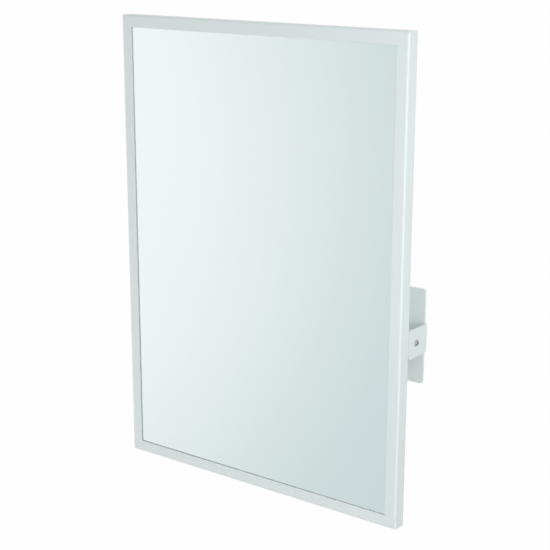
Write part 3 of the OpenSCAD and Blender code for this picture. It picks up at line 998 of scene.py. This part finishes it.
def build_pivots():
    """Both pivots: screws, nuts with their inserts, springs, washers, friction discs and bushes."""
    for side in ("left", "right"):
        low, high = box(f"pivot_screw_{side}")
        size, centre = high - low, (low + high) / 2
        d = size[2] / 2 / BUTTON_HEAD_R
        axes = outward_x(centre)
        solid, top = button_screw(d, size[2] / 2, size[0])
        screw = placed(solid, centre + axes[2] * (size[0] / 2 - top), *axes)
        piece(f"button_screw_{side}", screw, "wall_brackets", "pivot_steel", "pivots", f"pivot_screw_{side}")
    steel = ("wall_brackets", "pivot_steel", "pivots")
    nylon = ("wall_brackets", "black_nylon", "nylon")
    nuts, inserts = nuts_and_inserts(d)
    piece("collar_lock_nuts", nuts, *steel, "lock_nuts")
    piece("lock_nut_inserts", inserts, *nylon)
    for name, node, kind, section, gap, measure in (
        ("cone_springs", "disc_springs", steel, cone_section, HOLE_GAP, 0.12 * d),
        ("flat_washers", "steel_washers", steel, flat_section, HOLE_GAP, 0.03 * d),
        ("friction_discs_moulded", "friction_discs", nylon, flat_section, HOLE_GAP, 0.08 * d),
        ("inner_washers_moulded", "inner_friction_washers", nylon, flat_section, HOLE_GAP, 0.03 * d),
        ("bushes_moulded", "pivot_bushes", ("mirror", *nylon[1:]), flat_section, BUSH_GAP, 0.03 * d),
    ):
        piece(name, rings_at(node, section, d / 2 + gap, measure), *kind, node)


# ---- Buffers and hidden fittings ----


def build_buffers():
    """Rubber buffers: short cylinders with a rounded shoulder and a moulding dimple, based on the frame."""
    buffers = []
    for low, _, size, centre in solid_boxes("rear_buffers"):
        r, h = size[0] / 2, size[1]
        shoulder = 0.2 * h
        rows = [(0, 0.94 * r), (0.01 * h, 0.97 * r), (0.05 * h, r)]
        for t in np.linspace(0, QUARTER, 8):
            rows.append((h - shoulder * (1 - math.sin(t)), r - shoulder * (1 - math.cos(t))))
        rows += [(h, 0.34 * r), (0.97 * h, 0.28 * r), (0.88 * h, 0.22 * r)]
        base = np.array([centre[0], low[1], centre[2]])
        buffers.append(placed(turned_solid(rows, even_angles(56)), base, X, Z, Y))
    piece("moulded_buffers", joined(buffers), "mirror", "black_rubber", "rubber", "rear_buffers")


def finish_hidden():
    """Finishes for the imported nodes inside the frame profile."""
    for node in ("corner_keys", "nut_bars"):
        coat(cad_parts[node], material("zinc"))


# ---- Stage ----

BACKDROP_WHITE = (1.0, 1.0, 1.0)
# What reflections show away from the panels, in front of the wall plane and behind it
REFLECTED_FRONT = (0.66, 0.73, 0.75)
REFLECTED_BEHIND = (0.16, 0.17, 0.175)
# A direction's y where the front's tone starts to change, and where it has become the other
BEHIND_START, BEHIND_FULL = 0.05, 0.55
# Soft panels that reflections show. Each has its turn to the right of -Y and its rise in degrees, the angles
# from its middle at which it starts to fade and has faded, and its colour.
PANELS = (
    (-54.7, -9.4, 11, 28, (0.97, 1.0, 1.0)),
    (56, 12, 10, 26, (1.3, 1.34, 1.34)),
    (143, 38, 10, 40, (0.95, 0.98, 1.0)),
    (-140, 30, 12, 42, (1.1, 1.12, 1.12)),
    (-160, -22, 16, 44, (0.62, 0.64, 0.65)),
)
FLOOR_COLOUR = (0.86, 0.87, 0.87)
FLOOR_ROUGHNESS = 0.8
FLOOR_HALF = 40.0
# Share of the floor's own shading that the camera sees
FLOOR_SHADE = 0.02
# Where the lamps point
LAMP_TARGET = Vector((0.05, 0, 0.08))


def reflected_room(nodes):
    """What glass and metal show: a pale front, a darker back, and soft panels.

    A panel's share is 1 within its core and fades out at its rim, by the angle acos(d . p) between the
    direction d and the panel's middle p.
    """
    place = nodes.node("TexCoord").outputs["Generated"]
    away = nodes.node("SeparateXYZ", {0: place}).outputs["Y"]
    shown = nodes.mix(nodes.spread(away, 0, 1, BEHIND_START, BEHIND_FULL), REFLECTED_FRONT, REFLECTED_BEHIND)
    for turn, rise, core, rim, panel in PANELS:
        turn, rise, core, rim = map(math.radians, (turn, rise, core, rim))
        middle = (math.sin(turn) * math.cos(rise), -math.cos(turn) * math.cos(rise), math.sin(rise))
        toward = nodes.node("VectorMath", {0: place, 1: middle}, operation="DOT_PRODUCT").outputs["Value"]
        amount = nodes.spread(nodes.work_out("ARCCOSINE", toward), 0, 1, rim, core)
        shown = nodes.mix(amount, shown, panel)
    return shown


def build_world():
    """White to the camera, a room with soft panels to reflections, and even light to everything else."""
    world = bpy.data.worlds.new("white_studio")
    bpy.context.scene.world = world
    world.use_nodes = True
    nodes = Nodes(world.node_tree)
    ray = nodes.node("LightPath").outputs
    mirrored = nodes.work_out("ADD", ray["Is Glossy Ray"], ray["Is Transmission Ray"], use_clamp=True)
    lit = nodes.mix(mirrored, (stage_settings().ambient,) * 3, reflected_room(nodes))
    seen = nodes.mix(ray["Is Camera Ray"], lit, BACKDROP_WHITE)
    nodes.fill(world.node_tree.nodes["Background"], {"Color": seen})


def build_floor():
    """Pale floor, nearly white to the camera, that keeps a share of its own shading and so the shadow."""
    drop = stage_settings().floor_drop
    corners = [(x * FLOOR_HALF, y * FLOOR_HALF, -drop) for x, y in ((-1, -1), (1, -1), (1, 1), (-1, 1))]
    mesh = bpy.data.meshes.new("studio_floor")
    mesh.from_pydata(corners, [], [(0, 1, 2, 3)])
    floor = new_object("studio_floor", mesh)
    floor.visible_glossy = False
    floor.visible_transmission = False
    paint = bpy.data.materials.new("floor_paint")
    paint.use_nodes = True
    nodes = Nodes(paint.node_tree)
    own = nodes.fill(
        paint.node_tree.nodes["Principled BSDF"],
        {"Base Color": (*FLOOR_COLOUR, 1), "Roughness": FLOOR_ROUGHNESS},
    )
    ray = nodes.node("LightPath").outputs["Is Camera Ray"]
    amount = nodes.work_out("MULTIPLY", ray, 1 - FLOOR_SHADE)
    mixed = nodes.node("MixShader", {0: amount, 1: own.outputs[0], 2: nodes.node("Emission").outputs[0]})
    nodes.fill(paint.node_tree.nodes["Material Output"], {"Surface": mixed.outputs[0]})
    coat(floor, paint)


def build_lights():
    """Soft panels: near and high ones at the right, a low one at the left, and a weak one for the back."""
    st = stage_settings()
    for name, place, size, watts in (
        ("key_light", (1.2, -0.78, 0.25), (0.9, 0.9), st.key),
        ("top_light", (1.2, -0.6, 1.4), (1.0, 1.0), st.top),
        ("fill_light", (-1.4, -0.6, -0.8), (1.8, 1.5), st.fill),
        ("rear_light", (-0.9, 1.6, 0.3), (1.0, 1.0), st.rear),
    ):
        data = bpy.data.lights.new(name, "AREA")
        data.shape = "RECTANGLE"
        data.size, data.size_y = size
        data.energy = watts
        lamp = new_object(name, data)
        lamp.location = place
        lamp.rotation_euler = (LAMP_TARGET - Vector(place)).to_track_quat("-Z", "Y").to_euler()
        lamp.visible_glossy = False
        lamp.visible_transmission = False


def build_camera():
    """Camera from its yaw, pitch and roll.

    Forward is (-sin y cos p, cos y cos p, -sin p), right is (cos y, sin y, 0), down is forward x right, and
    the roll turns right and down about forward.
    """
    st = stage_settings()
    cy, sy, cp, sp = math.cos(st.yaw), math.sin(st.yaw), math.cos(st.pitch), math.sin(st.pitch)
    forward = Vector((-sy * cp, cy * cp, -sp))
    level = Vector((cy, sy, 0))
    down = forward.cross(level)
    right = level * math.cos(st.roll) + down * math.sin(st.roll)
    up = -(down * math.cos(st.roll) - level * math.sin(st.roll))
    data = bpy.data.cameras.new("photo_camera")
    data.sensor_width = 36
    data.lens = st.lens
    camera = new_object("photo_camera", data)
    turn = Matrix((right, up, -forward)).transposed().to_4x4()
    camera.matrix_world = Matrix.Translation(st.camera_at) @ turn
    bpy.context.scene.camera = camera


# ---- Add-on ----


class WALLMIRROR_OT_frame(bpy.types.Operator):
    """Build the four coated members of the mirror frame"""

    bl_idname = "wall_mirror.frame"
    bl_label = "Coated Frame"

    def execute(self, context):
        build_frame()
        return {"FINISHED"}


class WALLMIRROR_OT_glass(bpy.types.Operator):
    """Build the silvered glass with its tape and film"""

    bl_idname = "wall_mirror.glass"
    bl_label = "Silvered Glass"

    def execute(self, context):
        build_glass()
        return {"FINISHED"}


class WALLMIRROR_OT_back(bpy.types.Operator):
    """Build the foam padding and the back panel"""

    bl_idname = "wall_mirror.back"
    bl_label = "Back Panel"

    def execute(self, context):
        build_back()
        return {"FINISHED"}


class WALLMIRROR_OT_clips(bpy.types.Operator):
    """Build the clips that hold the back panel"""

    bl_idname = "wall_mirror.clips"
    bl_label = "Retaining Clips"

    def execute(self, context):
        build_clips()
        return {"FINISHED"}


class WALLMIRROR_OT_screws(bpy.types.Operator):
    """Build the pan head screws on the back of the frame"""

    bl_idname = "wall_mirror.screws"
    bl_label = "Pan Head Screws"

    def execute(self, context):
        build_screws()
        return {"FINISHED"}


class WALLMIRROR_OT_brackets(bpy.types.Operator):
    """Build the folded wall brackets and pivot lugs"""

    bl_idname = "wall_mirror.brackets"
    bl_label = "Brackets and Lugs"

    def execute(self, context):
        build_brackets()
        return {"FINISHED"}


class WALLMIRROR_OT_pivots(bpy.types.Operator):
    """Build the screws, nuts, springs, washers, discs and bushes of both pivots"""

    bl_idname = "wall_mirror.pivots"
    bl_label = "Pivots"

    def execute(self, context):
        build_pivots()
        return {"FINISHED"}


class WALLMIRROR_OT_buffers(bpy.types.Operator):
    """Build the rubber buffers and finish the fittings inside the frame"""

    bl_idname = "wall_mirror.buffers"
    bl_label = "Buffers and Fittings"

    def execute(self, context):
        build_buffers()
        finish_hidden()
        return {"FINISHED"}


class WALLMIRROR_OT_stage(bpy.types.Operator):
    """Set up the white studio: world, floor, lights and camera"""

    bl_idname = "wall_mirror.stage"
    bl_label = "White Studio"

    def execute(self, context):
        build_world()
        build_floor()
        build_lights()
        build_camera()
        context.scene.view_settings.view_transform = "Standard"
        return {"FINISHED"}


OPERATORS = (
    WALLMIRROR_OT_frame,
    WALLMIRROR_OT_glass,
    WALLMIRROR_OT_back,
    WALLMIRROR_OT_clips,
    WALLMIRROR_OT_screws,
    WALLMIRROR_OT_brackets,
    WALLMIRROR_OT_pivots,
    WALLMIRROR_OT_buffers,
    WALLMIRROR_OT_stage,
)
GROUPS = {"mirror_sizes": MirrorSizes, "mirror_finishes": MirrorFinishes, "mirror_stage": MirrorStage}


class WALLMIRROR_PT_panel(bpy.types.Panel):
    """Settings and building steps of the wall mirror"""

    bl_idname = "WALLMIRROR_PT_panel"
    bl_label = "Pivot Wall Mirror"
    bl_space_type = "VIEW_3D"
    bl_region_type = "UI"
    bl_category = "Wall Mirror"

    def draw(self, context):
        for group in GROUPS:
            settings = getattr(context.scene, group)
            column = self.layout.column(align=True)
            for name in settings.__annotations__:
                column.prop(settings, name)
        for operator in OPERATORS:
            self.layout.operator(operator.bl_idname)


CLASSES = (*GROUPS.values(), *OPERATORS, WALLMIRROR_PT_panel)


def register():
    for cls in CLASSES:
        bpy.utils.register_class(cls)
    for name, group in GROUPS.items():
        setattr(bpy.types.Scene, name, PointerProperty(type=group))


def unregister():
    for name in GROUPS:
        delattr(bpy.types.Scene, name)
    for cls in reversed(CLASSES):
        bpy.utils.unregister_class(cls)


def main():
    register()
    for operator in OPERATORS:
        group, name = operator.bl_idname.split(".")
        getattr(getattr(bpy.ops, group), name)()


if __name__ == "__main__":
    main()
